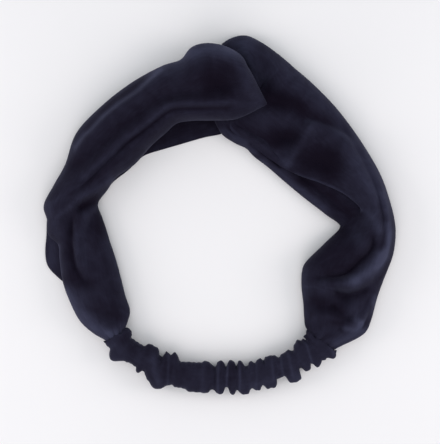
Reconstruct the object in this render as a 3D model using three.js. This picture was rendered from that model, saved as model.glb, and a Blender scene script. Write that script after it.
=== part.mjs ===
// Twist headband: two velvet bands folded into loops that link through each other at the twist,
// closed at the back by a ruched velvet casing over a plain elastic.
// Frame: +X to the wearer's side, +Y towards the twist, +Z up from the surface that it lies on.
// Millimetres throughout. Every piece lies at rest on the plane z = 0.

import * as THREE from 'three';

// ---------------------------------------------------------------- driving dimensions

const WALL = 1.8;              // doubled velvet
const COLUMNS = 14;            // facets across a band
const EDGE_CROWDING = 0.3;     // how far the columns draw towards a band's two edges
const FLAT = 0.86;             // middle of a wall that lies on the surface
const ROLL_POWER = 2.3;        // how square a band's rolled shoulders are
const NECK = { upper: 7.25, lower: 4.75 };   // heights of a gathered end inside the casing

const CASING = {
  wall: 1.8,
  middle: 6,                   // height of the tube's middle line
  bottom: 6.5,                 // the underside is cut flat by the surface
  leastReach: 5.6,             // narrowest half width, so that the elastic keeps clear of the wall
  rings: 70,
  sides: 12,
  squareness: 0.78,            // 1 is an ellipse, less is squarer
};
const ELASTIC = { width: 6.4, thickness: 1.2, steps: 14, endGap: 0.5, neckReach: 10.6 };

const VELVET = new THREE.Color(0x1b1824);
const ELASTIC_BLACK = new THREE.Color(0x121214);

// ---------------------------------------------------------------- tables

// A row is one section across a band: its two edges [x, y, z], how high the cloth crowns
// between them, and the mesh rows from it to the next section.
// The left band's outer edge is the one that faces away from the head.
const LEFT_UPPER = [
  { outer: [-57.4, -76.6, NECK.upper], inner: [-50.4, -72, NECK.upper], crown: 0, spans: 2 },
  { outer: [-61.9, -69, 7.3], inner: [-54.4, -64.8, 7.3], crown: 0.4, spans: 2 },
  { outer: [-69, -66, 4.8], inner: [-51.6, -59.6, 5], crown: 6, spans: 2 },
  { outer: [-77, -60, 3.4], inner: [-50.5, -54, 3.6], crown: 10, spans: 2 },
  { outer: [-82.5, -49, 3.2], inner: [-53, -46, 3.2], crown: 12, spans: 2 },
  { outer: [-86.5, -38, 3.2], inner: [-55.5, -36, 3.2], crown: 11, spans: 2 },
  { outer: [-89, -26, 3.2], inner: [-58.5, -25, 3.2], crown: 10, spans: 2 },
  { outer: [-90, -14, 3.2], inner: [-62, -14, 3.2], crown: 10, spans: 2 },
  { outer: [-94, -2, 3.4], inner: [-66, -2, 3.4], crown: 11, spans: 2 },
  { outer: [-98.2, 5, 3.6], inner: [-68.5, 6, 3.6], crown: 13, spans: 2 },
  { outer: [-93, 16, 3.6], inner: [-63, 14, 4], crown: 14, spans: 2 },
  { outer: [-87, 28, 3.6], inner: [-58, 21, 4.5], crown: 15, spans: 3 },
  { outer: [-80, 45, 3.6], inner: [-48, 28, 5], crown: 16, spans: 3 },
  { outer: [-65, 61, 3.8], inner: [-38, 39, 5.5], crown: 17, spans: 3 },
  { outer: [-48, 74, 3.8], inner: [-30, 46, 6.5], crown: 17.5, spans: 3 },
  { outer: [-31, 83, 4.8], inner: [-24, 51, 8.5], crown: 18, spans: 2 },
  { outer: [-20, 87.4, 8.5], inner: [-14, 52.5, 11], crown: 17, spans: 2 },
  { outer: [-8, 95.2, 12.2], inner: [-3, 52.5, 12.6], crown: 15.5, spans: 2 },
  { outer: [5, 92.6, 13.2], inner: [8, 53, 12.8], crown: 14.5, spans: 2 },
  { outer: [12.5, 86.5, 13.6], inner: [16, 56, 13.2], crown: 13, spans: 2 },
  { outer: [17, 81, 13.8], inner: [22.5, 59.6, 13.4], crown: 9.5, spans: 2 },
];
const LEFT_BEND = [
  { outer: [19.4, 77, 14.2], inner: [25.8, 61.3, 14], crown: 2, spans: 2 },
  { outer: [16, 75.5, 7.5], inner: [20.5, 63.2, 7.5], crown: 0, spans: 2 },
];
const LEFT_LOWER = [
  { outer: [11, 74.5, FLAT], inner: [12.5, 63, FLAT], crown: 0, spans: 1 },
  { outer: [3, 78, FLAT], inner: [4, 48, FLAT], crown: 0, spans: 1 },
  { outer: [-8, 81, FLAT], inner: [-8, 43.5, FLAT], crown: 0, spans: 1 },
  { outer: [-20, 81, FLAT], inner: [-21, 39.7, FLAT], crown: 0, spans: 1 },
  { outer: [-34, 76, FLAT], inner: [-33, 36.2, FLAT], crown: 0, spans: 1 },
  { outer: [-50, 67, FLAT], inner: [-43, 32.8, FLAT], crown: 0, spans: 1 },
  { outer: [-66, 54, FLAT], inner: [-51, 25, FLAT], crown: 0, spans: 1 },
  { outer: [-79, 39, FLAT], inner: [-59.5, 18.5, FLAT], crown: 0, spans: 1 },
  { outer: [-87, 24, FLAT], inner: [-65.5, 11, FLAT], crown: 0, spans: 1 },
  { outer: [-94.5, 8, FLAT], inner: [-69.5, 5, FLAT], crown: 0, spans: 1 },
  { outer: [-96.3, -3, FLAT], inner: [-67.5, -4, FLAT], crown: 0, spans: 1 },
  { outer: [-97.3, -12, FLAT], inner: [-64, -12, FLAT], crown: 0, spans: 1 },
  { outer: [-98.2, -20.5, FLAT], inner: [-61.5, -20, FLAT], crown: 0, spans: 1 },
  { outer: [-97, -28.5, FLAT], inner: [-59, -27, FLAT], crown: 0, spans: 1 },
  { outer: [-90.5, -35.5, FLAT], inner: [-57, -33, FLAT], crown: 0, spans: 1 },
  { outer: [-84, -41, FLAT], inner: [-56, -40, FLAT], crown: 0, spans: 1 },
  { outer: [-80.5, -50, FLAT], inner: [-54, -48, FLAT], crown: 0, spans: 1 },
  { outer: [-75.5, -58, FLAT], inner: [-52.5, -55, FLAT], crown: 0, spans: 1 },
  { outer: [-67, -64.5, 2], inner: [-53, -60.5, 2], crown: 0, spans: 1 },
  { outer: [-61.9, -69, NECK.lower], inner: [-54.4, -64.8, NECK.lower], crown: 0, spans: 1 },
  { outer: [-57.4, -76.6, NECK.lower], inner: [-50.4, -72, NECK.lower], crown: 0, spans: 1 },
];

// The right band's first leg lies above its second. Past the twist the first edge of the strip,
// called outer here, is the one nearer the head.
const RIGHT_UPPER = [
  { outer: [52.8, -80.8, NECK.upper], inner: [48.2, -74, NECK.upper], crown: 0, spans: 2 },
  { outer: [61.6, -73.2, 7.3], inner: [52.7, -67, 7.3], crown: 0.4, spans: 2 },
  { outer: [75, -69.4, 4.8], inner: [48.6, -62.4, 5], crown: 6, spans: 2 },
  { outer: [83.6, -61.4, 3.4], inner: [47.5, -52, 3.6], crown: 10, spans: 2 },
  { outer: [87.6, -47.5, 3.2], inner: [46.8, -40, 3.2], crown: 12, spans: 2 },
  { outer: [92.8, -33.5, 3.2], inner: [47.3, -28.5, 3.2], crown: 13, spans: 2 },
  { outer: [97, -22, 3.4], inner: [55.8, -19.2, 3.8], crown: 12, spans: 2 },
  { outer: [98.2, -10, 3.6], inner: [67.6, -8, 5], crown: 11, spans: 2 },
  { outer: [95.4, 6, 2.4], inner: [79, 2.4, 8], crown: 7.5, spans: 2 },
  { outer: [90.4, 21, 1.8], inner: [71.5, 10.6, 9], crown: 8, spans: 2 },
  { outer: [80.2, 39, 1.8], inner: [57.5, 17.4, 9.2], crown: 8.5, spans: 3 },
  { outer: [66, 58.6, 1.8], inner: [42.5, 22.8, 9.2], crown: 9, spans: 3 },
  { outer: [53.2, 72, 1.8], inner: [29.5, 30, 9], crown: 9.5, spans: 2 },
  { outer: [47, 77.6, 1.8], inner: [18.6, 38.6, 9.4], crown: 9.5, spans: 2 },
  { outer: [42.6, 81.3, 1.8], inner: [22.8, 47.4, 9.2], crown: 8.6, spans: 1 },
  { outer: [38, 85.2, 1.8], inner: [26.4, 56, 6.6], crown: 8, spans: 2 },
  { outer: [31, 91, 1.8], inner: [26, 66.4, 5], crown: 8, spans: 2 },
  { outer: [23.5, 96, 1.8], inner: [22.6, 78.5, 3.4], crown: 8.6, spans: 1 },
];
const RIGHT_CROSSING = [
  { outer: [14, 100, 1.8], inner: [17.6, 84, 3], crown: 8, spans: 2 },
  { outer: [3.4, 96.6, 2.6], inner: [14, 80.5, 3.4], crown: 6.4, spans: 2 },
  { outer: [-4, 87, 3.2], inner: [12, 74.5, 3.6], crown: 6, spans: 2 },
  { outer: [-6, 74, 3.4], inner: [12.5, 67, 3.6], crown: 6, spans: 2 },
  { outer: [-4.5, 60, 3.4], inner: [14.5, 60, 3.6], crown: 6, spans: 2 },
];
const RIGHT_LOWER = [
  { outer: [1, 46.1, 3], inner: [24.5, 58.2, 2.6], crown: 5, spans: 2 },
  { outer: [9, 40.4, 2.2], inner: [33, 52, 1.6], crown: 5.2, spans: 2 },
  { outer: [19.4, 33.2, 1.6], inner: [43, 41, 1.3], crown: 5.4, spans: 2 },
  { outer: [36, 19.6, 1.5], inner: [59, 27.4, 1], crown: 5, spans: 2 },
  { outer: [48, 9.6, 1.4], inner: [75, 20, FLAT], crown: 4.6, spans: 2 },
  { outer: [60, 0.4, 1.4], inner: [86, 5, FLAT], crown: 4.2, spans: 2 },
  { outer: [67, -7.3, 1.2], inner: [93, -8, FLAT], crown: 1.6, spans: 1 },
  { outer: [58.6, -16.5, FLAT], inner: [91.6, -22, FLAT], crown: 0, spans: 1 },
  { outer: [49.6, -28, FLAT], inner: [87.6, -34, FLAT], crown: 0, spans: 1 },
  { outer: [48, -40, FLAT], inner: [84.6, -44, FLAT], crown: 0, spans: 1 },
  { outer: [48.8, -51, FLAT], inner: [82.6, -53, FLAT], crown: 0, spans: 1 },
  { outer: [49.5, -60, FLAT], inner: [78.5, -61.5, FLAT], crown: 0, spans: 1 },
  { outer: [50.5, -65, 2], inner: [71, -68.4, 2], crown: 0, spans: 1 },
  { outer: [52.7, -67, NECK.lower], inner: [61.6, -73.2, NECK.lower], crown: 0, spans: 1 },
  { outer: [48.2, -74, NECK.lower], inner: [52.8, -80.8, NECK.lower], crown: 0, spans: 1 },
];

// A fold is a ridge, or with a negative height a valley, along a line of points [x, y].
const LEFT_FOLDS = [
  { height: 2.6, width: 4.4, line: [[-26, 80], [-39, 70.4], [-54, 58.8], [-68.6, 45.6], [-82, 27]] },
  { height: -3.2, width: 6.5, line: [[-6, 69], [-34, 64], [-57, 46.5], [-86, 19]] },
  { height: 2.1, width: 3, line: [[14, 64], [-28, 59.6], [-48, 46], [-68, 28.5], [-90, 10]] },
  { height: -1.6, width: 2.4, line: [[2, 58.2], [-26, 57.4], [-48, 41.8], [-80, 12.5]] },
  { height: 2.4, width: 4, line: [[-6, 90], [9.5, 84], [15.5, 71], [16, 63]] },
  { height: -5.6, width: 8, line: [[-5, 70], [5, 72]] },
  { height: 2.4, width: 3, line: [[-58, 21.5], [-74, 10.9], [-85, 1.6]] },
  { height: -2.2, width: 4, line: [[-67, 8.5], [-78, 3.8], [-82.2, -8], [-81, -25], [-70, -41]] },
  { height: 1.8, width: 3, line: [[-78.6, 2.5], [-79.5, -12], [-75, -33]] },
  { height: 1.2, width: 3, line: [[-86.5, -2], [-86, -26], [-83.5, -36]] },
];
const RIGHT_UPPER_FOLDS = [
  { height: 5, width: 10, line: [[22, 92], [34, 82], [57, 57.5], [76, 28.5], [86, 0], [84, -25]] },
  { height: -2.8, width: 5, line: [[32, 64], [43, 59.4], [57, 51.6], [72, 42.2]] },
  { height: 2.4, width: 3, line: [[53, 51], [46.5, 42], [37, 27]] },
  { height: -3.4, width: 6, line: [[32, 44], [44, 43]] },
  { height: -3.4, width: 8, line: [[50, 31], [62, 29]] },
  { height: 1.6, width: 3.6, line: [[69, 42], [72, 26], [67, 13]] },
  { height: -2.2, width: 4, line: [[84.5, -8], [82.6, -20.6], [70, -32], [50, -34]] },
  { height: 2.8, width: 4, line: [[92, -14], [85.6, -28], [74, -37], [51, -39]] },
  { height: -2.6, width: 4, line: [[81, -40.5], [74, -45], [62, -47]] },
  { height: 2, width: 3.6, line: [[86.2, -42], [81.8, -53.6], [66.4, -62.4]] },
  { height: -1.8, width: 3.2, line: [[61, -51], [73, -58]] },
];
const RIGHT_LOWER_FOLDS = [
  { height: -1.6, width: 2.4, line: [[0, 51.5], [19, 38.6], [37, 25]] },
  { height: 1, width: 2, line: [[4, 52], [25, 37.6], [37, 27.8]] },
  { height: -1.8, width: 3, line: [[42, 23.5], [58, 12.2], [78, -4]] },
];

// The casing's middle line and its two edges in plan [x, y], crest by crest and notch by notch.
const CASING_LINE = [
  [-58, -67.2], [-54, -73.4], [-47, -78.6], [-40, -83], [-33, -86.5], [-24, -88.5], [-12, -90.5],
  [0, -91], [12, -90.7], [24, -88.7], [33, -85.8], [41, -82], [48.5, -78.2], [54.2, -74.8], [57.3, -70.6],
];
const HEAD_EDGE = [
  [-54, -61], [-51.2, -63.8], [-49.3, -67], [-48, -70.3], [-43, -73.4], [-39, -72.8], [-35, -74.9],
  [-33.3, -79], [-29.7, -77.2], [-24.9, -77.7], [-22.6, -81.4], [-18, -82.8], [-10, -83], [-6.4, -82.7],
  [-2, -85.2], [0.8, -82.7], [3.7, -85], [6.6, -82.3], [9.3, -84.8], [11.6, -82.6], [15, -85.3],
  [17.8, -82.6], [22.8, -80.9], [28, -79.4], [33.4, -80.2], [37.2, -77.2], [41.6, -76.2], [44, -70.5],
  [48.2, -70.4], [48.9, -66], [49.4, -63.5], [52, -60],
];
const AWAY_EDGE = [
  [-67, -68], [-64.6, -70.2], [-61.2, -75], [-60.6, -80.4], [-54, -81.6], [-48.4, -83.2], [-45.6, -87.4],
  [-42.2, -87], [-38, -95.2], [-34.5, -97.2], [-28.8, -95.3], [-25, -96], [-20, -97], [-13, -99],
  [-6.4, -99.2], [-2.6, -98.2], [0.8, -99.8], [4, -96.5], [7.4, -100], [10.4, -98.2], [14.4, -100],
  [17.2, -97.9], [22.4, -97.5], [25, -95.8], [28.6, -96.7], [31.6, -95.4], [33.6, -91.4], [36.8, -90.4],
  [38.8, -93.1], [44, -92.8], [44.6, -86.6], [49.6, -86.9], [52.4, -83.5], [55.6, -84.5], [60.2, -79.8],
  [64.2, -79.5], [64.6, -75], [66.5, -72.5],
];
// How high the casing's top stands above the middle line, a row for each crest and notch.
const TOPS = [
  { x: -58, rise: 6.8 }, { x: -56, rise: 6.4 }, { x: -53.5, rise: 7.3 }, { x: -50, rise: 6 },
  { x: -47.5, rise: 6.8 }, { x: -45, rise: 5.8 }, { x: -39, rise: 8.2 }, { x: -34, rise: 6.8 },
  { x: -31.5, rise: 7.6 }, { x: -27.2, rise: 6.4 }, { x: -25, rise: 7.2 }, { x: -21.5, rise: 6.4 },
  { x: -15, rise: 7 }, { x: -6.6, rise: 5.8 }, { x: -0.4, rise: 7.4 }, { x: 2.6, rise: 5.6 },
  { x: 7.4, rise: 7.2 }, { x: 9.4, rise: 5.8 }, { x: 12, rise: 7.4 }, { x: 15, rise: 5.8 },
  { x: 18.5, rise: 7.2 }, { x: 20.8, rise: 5.8 }, { x: 22.8, rise: 7 }, { x: 26, rise: 5.8 },
  { x: 29, rise: 7.2 }, { x: 31.8, rise: 5.8 }, { x: 34, rise: 7.2 }, { x: 36, rise: 5.8 },
  { x: 38.5, rise: 7.4 }, { x: 41.4, rise: 6 }, { x: 44, rise: 7.2 }, { x: 46.6, rise: 5.8 },
  { x: 50, rise: 7.2 }, { x: 53, rise: 6.2 }, { x: 57.6, rise: 6.8 },
];

// ---------------------------------------------------------------- functions

/** Smooth curve through the points of one column of a table. */
function curveThrough(points) {
  return new THREE.CatmullRomCurve3(points, false, 'centripetal');
}

/** Height that the folds add at one place, fading with the distance from each fold's line. */
function foldHeight(folds, x, y) {
  let height = 0;
  for (const fold of folds) {
    let distance = Infinity;
    for (let index = 1; index < fold.line.length; index++) {
      const [fromX, fromY] = fold.line[index - 1];
      const alongX = fold.line[index][0] - fromX;
      const alongY = fold.line[index][1] - fromY;
      const reach = (x - fromX) * alongX + (y - fromY) * alongY;
      const share = THREE.MathUtils.clamp(reach / (alongX ** 2 + alongY ** 2), 0, 1);
      distance = Math.min(distance, Math.hypot(x - fromX - share * alongX, y - fromY - share * alongY));
    }
    height += fold.height * Math.exp(-((distance / fold.width) ** 2));
  }
  return height;
}

/** Middle surface of a band, as rows of points, from legs that each hold sections and folds. */
function bandSurface(legs) {
  const sections = legs.flatMap((leg) => leg.sections.map((row) => ({ ...row, folds: leg.folds })));
  const last = sections.length - 1;
  const outer = curveThrough(sections.map((row) => new THREE.Vector3(...row.outer)));
  const inner = curveThrough(sections.map((row) => new THREE.Vector3(...row.inner)));
  const crown = curveThrough(sections.map((row, index) => new THREE.Vector3(index, row.crown, 0)));
  const rows = [];
  sections.forEach((section, index) => {
    const steps = index < last ? section.spans : 1;
    for (let step = 0; step < steps; step++) {
      const place = Math.min(1, (index + step / steps) / last);
      const from = outer.getPoint(place);
      const to = inner.getPoint(place);
      const rise = Math.max(0, crown.getPoint(place).y);
      const row = [];
      for (let column = 0; column <= COLUMNS; column++) {
        const share = column / COLUMNS;
        const across = share - EDGE_CROWDING * Math.sin(2 * Math.PI * share) / (2 * Math.PI);
        const roll = Math.sqrt(1 - Math.abs(2 * across - 1) ** ROLL_POWER);
        const point = from.clone().lerp(to, across);
        const fullness = roll * Math.min(1, rise / 4);
        point.z += rise * roll + fullness * foldHeight(section.folds, point.x, point.y);
        row.push(point);
      }
      rows.push(row);
    }
  });
  return rows;
}

/** Closed sheet of even thickness about a surface given as rows of points. */
function thickSheet(rows, thickness) {
  const rowCount = rows.length;
  const columnCount = rows[0].length;
  const faceA = [];
  const faceB = [];
  for (let r = 0; r < rowCount; r++) {
    for (let c = 0; c < columnCount; c++) {
      const along = rows[Math.min(r + 1, rowCount - 1)][c].clone().sub(rows[Math.max(r - 1, 0)][c]);
      const across = rows[r][Math.min(c + 1, columnCount - 1)].clone().sub(rows[r][Math.max(c - 1, 0)]);
      const normal = along.cross(across).normalize().multiplyScalar(thickness / 2);
      const top = rows[r][c].clone().sub(normal);
      const under = rows[r][c].clone().add(normal);
      top.z = Math.max(top.z, 0);
      under.z = Math.max(under.z, 0);
      faceA.push(top);
      faceB.push(under);
    }
  }
  const points = [...faceA, ...faceB];
  const offset = faceA.length;
  const at = (r, c) => r * columnCount + c;
  const triangles = [];
  const quad = (a, b, c, d) => triangles.push(a, b, c, a, c, d);
  for (let r = 0; r < rowCount - 1; r++) {
    for (let c = 0; c < columnCount - 1; c++) {
      quad(at(r, c), at(r, c + 1), at(r + 1, c + 1), at(r + 1, c));
      quad(offset + at(r, c), offset + at(r + 1, c), offset + at(r + 1, c + 1), offset + at(r, c + 1));
    }
    const end = columnCount - 1;
    quad(at(r, 0), at(r + 1, 0), offset + at(r + 1, 0), offset + at(r, 0));
    quad(at(r, end), offset + at(r, end), offset + at(r + 1, end), at(r + 1, end));
  }
  for (let c = 0; c < columnCount - 1; c++) {
    const end = rowCount - 1;
    quad(at(0, c), offset + at(0, c), offset + at(0, c + 1), at(0, c + 1));
    quad(at(end, c), at(end, c + 1), offset + at(end, c + 1), offset + at(end, c));
  }
  return geometryFrom(points, triangles);
}

/** Buffer geometry from points and triangle corners. */
function geometryFrom(points, triangles) {
  const geometry = new THREE.BufferGeometry().setFromPoints(points);
  geometry.setIndex(triangles);
  geometry.computeVertexNormals();
  return geometry;
}

/** Rise of the casing's top at x, eased from crest to notch. */
function topAt(x) {
  const after = TOPS.findIndex((row) => row.x >= x);
  if (after <= 0) return TOPS[after < 0 ? TOPS.length - 1 : 0].rise;
  const before = TOPS[after - 1];
  const share = (x - before.x) / (TOPS[after].x - before.x);
  return THREE.MathUtils.lerp(before.rise, TOPS[after].rise, THREE.MathUtils.smoothstep(share, 0, 1));
}

const casingCurve = curveThrough(CASING_LINE.map(([x, y]) => new THREE.Vector3(x, y, CASING.middle)));

/** Place on the casing's middle line, with the level direction that points away from the head. */
function casingFrame(share) {
  const centre = casingCurve.getPointAt(share);
  const tangent = casingCurve.getTangentAt(share);
  return { centre, tangent, away: new THREE.Vector3(tangent.y, -tangent.x, 0).normalize() };
}

/** Distance from the middle line to an edge, square to the line. */
function reachTo(edge, { centre, tangent, away }) {
  let least = Infinity;
  for (let index = 1; index < edge.length; index++) {
    const [from, to] = [edge[index - 1], edge[index]].map(([x, y]) => {
      const offset = new THREE.Vector3(x - centre.x, y - centre.y, 0);
      return { forward: offset.dot(tangent), sideways: offset.dot(away) };
    });
    if ((from.forward <= 0) === (to.forward <= 0)) continue;
    const share = from.forward / (from.forward - to.forward);
    least = Math.min(least, Math.abs(THREE.MathUtils.lerp(from.sideways, to.sideways, share)));
  }
  return Math.max(CASING.leastReach, least);
}

/** Signed power, which squares an ellipse's corners. */
function squared(value) {
  return Math.sign(value) * Math.abs(value) ** CASING.squareness;
}

/** One ring of the casing's skin, drawn in by inset from the cloth's outer face. */
function casingRing(share, inset) {
  const frame = casingFrame(share);
  const reach = { away: reachTo(AWAY_EDGE, frame), head: reachTo(HEAD_EDGE, frame) };
  const ring = [];
  for (let side = 0; side < CASING.sides; side++) {
    const angle = (2 * Math.PI * side) / CASING.sides;
    const sideways = squared(Math.cos(angle));
    const upward = squared(Math.sin(angle));
    const width = (sideways > 0 ? reach.away : reach.head) - inset;
    const rise = (upward > 0 ? topAt(frame.centre.x) : CASING.bottom) - inset;
    const point = frame.centre.clone().addScaledVector(frame.away, sideways * width);
    point.z = Math.max(frame.centre.z + upward * rise, inset);
    ring.push(point);
  }
  return ring;
}

/** Ruched tube, open at both mouths. */
function ruchedCasing() {
  const points = [];
  for (const inset of [0, CASING.wall]) {
    for (let ring = 0; ring <= CASING.rings; ring++) {
      points.push(...casingRing(ring / CASING.rings, inset));
    }
  }
  const offset = (CASING.rings + 1) * CASING.sides;
  const at = (ring, side) => ring * CASING.sides + (side % CASING.sides);
  const triangles = [];
  const quad = (a, b, c, d) => triangles.push(a, b, c, a, c, d);
  for (let side = 0; side < CASING.sides; side++) {
    for (let ring = 0; ring < CASING.rings; ring++) {
      quad(at(ring, side), at(ring + 1, side), at(ring + 1, side + 1), at(ring, side + 1));
      quad(offset + at(ring, side), offset + at(ring, side + 1),
        offset + at(ring + 1, side + 1), offset + at(ring + 1, side));
    }
    const end = CASING.rings;
    quad(at(0, side), at(0, side + 1), offset + at(0, side + 1), offset + at(0, side));
    quad(at(end, side), offset + at(end, side), offset + at(end, side + 1), at(end, side + 1));
  }
  return geometryFrom(points, triangles);
}

/** Flat elastic between the two gathered necks inside the casing. */
function flatElastic() {
  const start = (ELASTIC.neckReach + ELASTIC.endGap) / casingCurve.getLength();
  const rows = [];
  for (let step = 0; step <= ELASTIC.steps; step++) {
    const { centre, away } = casingFrame(start + (1 - 2 * start) * (step / ELASTIC.steps));
    rows.push([
      centre.clone().addScaledVector(away, ELASTIC.width / 2),
      centre.clone().addScaledVector(away, -ELASTIC.width / 2),
    ]);
  }
  return thickSheet(rows, ELASTIC.thickness);
}

// ---------------------------------------------------------------- assembly

/** Adds one named piece to the assembly. */
function addPiece(group, name, geometry, color, roughness) {
  const material = new THREE.MeshStandardMaterial({ color, roughness, metalness: 0 });
  const mesh = new THREE.Mesh(geometry, material);
  mesh.name = name;
  group.add(mesh);
}

const headband = new THREE.Group();

const leftBand = bandSurface([
  { sections: LEFT_UPPER, folds: LEFT_FOLDS },
  { sections: [...LEFT_BEND, ...LEFT_LOWER], folds: [] },
]);
addPiece(headband, 'left_band', thickSheet(leftBand, WALL), VELVET, 0.95);

const rightBand = bandSurface([
  { sections: RIGHT_UPPER, folds: RIGHT_UPPER_FOLDS },
  { sections: RIGHT_CROSSING, folds: [] },
  { sections: RIGHT_LOWER, folds: RIGHT_LOWER_FOLDS },
]);
addPiece(headband, 'right_band', thickSheet(rightBand, WALL), VELVET, 0.95);

addPiece(headband, 'elastic_casing', ruchedCasing(), VELVET, 0.95);
addPiece(headband, 'elastic_core', flatElastic(), ELASTIC_BLACK, 0.8);

export default headband;
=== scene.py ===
"""Twist headband in black velvet, lying on a pale surface.

Two doubled velvet strips are folded into loops that link through each other at the twist. A ruched
velvet casing over flat elastic joins their gathered ends at the back. Tables are in millimetres,
meshes in metres. In plan, x runs along the headband's width and the casing lies at low y.
"""

from __future__ import annotations

import logging
import math
from dataclasses import dataclass
from enum import Enum
from typing import TypeVar

import bpy
import numpy as np
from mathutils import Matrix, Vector, noise


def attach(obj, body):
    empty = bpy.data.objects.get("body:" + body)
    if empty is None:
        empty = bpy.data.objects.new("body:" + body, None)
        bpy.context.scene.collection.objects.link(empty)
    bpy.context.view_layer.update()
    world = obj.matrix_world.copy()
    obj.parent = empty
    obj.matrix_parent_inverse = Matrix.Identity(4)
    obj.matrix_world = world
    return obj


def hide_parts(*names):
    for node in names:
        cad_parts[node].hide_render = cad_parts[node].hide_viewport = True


logging.basicConfig(level=logging.INFO, format="%(message)s")
log = logging.getLogger("headband")

MM = 0.001
BODY = "root"

FLAT = 0.86  # height of the middle of a strip that lies on the floor
NECK_UPPER = 7.25  # heights at which the two legs of a band enter the casing
NECK_LOWER = 4.75
LEAST_GAP = 1e-6  # keeps a curve's divisions safe
SEAM_GAP = 1e-6  # joins a tube's seam
NUDGE = 1e-9  # puts a row that sits on a section in that section's leg
FOLD_STEPS = 6  # steps between two points of a fold's, a stroke's or an edge's curve
STROKE_STEPS = 5
EDGE_STEPS = 8
FOLD_TAPER = 0.14  # share of a fold's length over which it rises and sinks
DROP_REACH = 2.8  # how far a drop reaches, in widths of the fold's right side

Point = tuple[float, float]
Colour = tuple[float, float, float]
Row = TypeVar("Row")

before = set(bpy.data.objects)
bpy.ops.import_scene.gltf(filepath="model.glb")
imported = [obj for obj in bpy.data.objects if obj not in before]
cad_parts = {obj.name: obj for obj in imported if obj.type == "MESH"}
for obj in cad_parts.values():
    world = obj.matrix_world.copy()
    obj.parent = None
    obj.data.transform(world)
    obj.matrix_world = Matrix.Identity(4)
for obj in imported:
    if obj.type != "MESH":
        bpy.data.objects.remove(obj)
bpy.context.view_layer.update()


# ---------------------------------------------------------------------------- tables' rows


class Face(Enum):
    """Which side of a band's strip a leg shows to the eye."""

    FOLDED = "folded"
    PLAIN = "plain"


@dataclass(frozen=True)
class Section:
    """One section across a band: its two edges and the mesh rows to the next section.

    Lean is the share of the crown that is lost towards the inner edge, where cloth lies on cloth.
    Below 0 it raises that side.
    """

    outer_x: float
    outer_y: float
    inner_x: float
    inner_y: float
    rows: int
    outer_z: float = FLAT
    inner_z: float = FLAT
    crown: float = 0.0
    lean: float = 0.0


@dataclass(frozen=True)
class Fold:
    """A raised or sunken crease along a line, which holds its points' x and y in turn.

    It falls away over left on the line's left side and over right on its right side, so a small
    value makes that side sharp. A drop sinks the cloth beyond the right side, as under the lip of
    a pleat.
    """

    height: float
    left: float
    right: float
    line: tuple[float, ...]
    drop: float = 0.0


@dataclass(frozen=True)
class Dent:
    """A round rise or hollow, longer one way than the other, turned by degrees."""

    x: float
    y: float
    along: float
    across: float
    turn: float
    height: float


@dataclass(frozen=True)
class Stroke:
    """Tone painted along a line, lighter, or darker with an amount below 0: partly brushed nap, partly
    painted highlights and painted shade.
    """

    amount: float
    width: float
    line: tuple[float, ...]


@dataclass(frozen=True)
class Leg:
    """A run of sections with the creases and dents that it shows, and its painted tone: brushed nap,
    painted highlights and painted shade.
    """

    sections: tuple[Section, ...]
    face: Face = Face.PLAIN
    folds: tuple[Fold, ...] = ()
    dents: tuple[Dent, ...] = ()
    strokes: tuple[Stroke, ...] = ()
    nap_and_light: float = 0.44


def table(kind: type[Row], *entries: tuple) -> tuple[Row, ...]:
    """Entries of a table, each made a row of its kind."""
    return tuple(kind(*entry) for entry in entries)


# ---------------------------------------------------------------------------- curves


def spline(points: np.ndarray, places: np.ndarray) -> np.ndarray:
    """Centripetal Catmull-Rom curve through points.

    Args:
        points: Control points, one to a row.
        places: Where to read the curve, from 0 at the first point, 1 at the second, and so on.

    Returns:
        One point for each place.
    """
    padded = np.vstack([2 * points[0] - points[1], points, 2 * points[-1] - points[-2]])
    index = np.clip(np.floor(places).astype(int), 0, len(points) - 2)
    share = (places - index)[:, None]
    p0, p1, p2, p3 = (padded[index + k] for k in range(4))
    d0, d1, d2 = (
        np.maximum(np.linalg.norm(b - a, axis=1), LEAST_GAP)[:, None] ** 0.5
        for a, b in ((p0, p1), (p1, p2), (p2, p3))
    )
    start = ((p1 - p0) / d0 - (p2 - p0) / (d0 + d1) + (p2 - p1) / d1) * d1
    end = ((p2 - p1) / d1 - (p3 - p1) / (d1 + d2) + (p3 - p2) / d2) * d1
    s2, s3 = share**2, share**3
    return (
        (2 * s3 - 3 * s2 + 1) * p1 + (s3 - 2 * s2 + share) * start
        + (3 * s2 - 2 * s3) * p2 + (s3 - s2) * end
    )


def smooth_line(line: tuple[float, ...], steps: int) -> np.ndarray:
    """Points of a curve through a line's points.

    Args:
        line: The points' x and y in turn.
        steps: Steps from each point to the next.

    Returns:
        The curve's points, one to a row.
    """
    knots = np.array(line, float).reshape(-1, 2)
    return spline(knots, np.linspace(0, len(knots) - 1, steps * (len(knots) - 1) + 1))


def travelled(points: np.ndarray) -> np.ndarray:
    """Length of the way from the first point to each."""
    return np.concatenate([[0], np.cumsum(np.linalg.norm(np.diff(points, axis=0), axis=1))])


def smoothstep(value: np.ndarray) -> np.ndarray:
    """Eases 0 to 1 with flat ends."""
    clipped = np.clip(value, 0, 1)
    return clipped * clipped * (3 - 2 * clipped)


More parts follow.
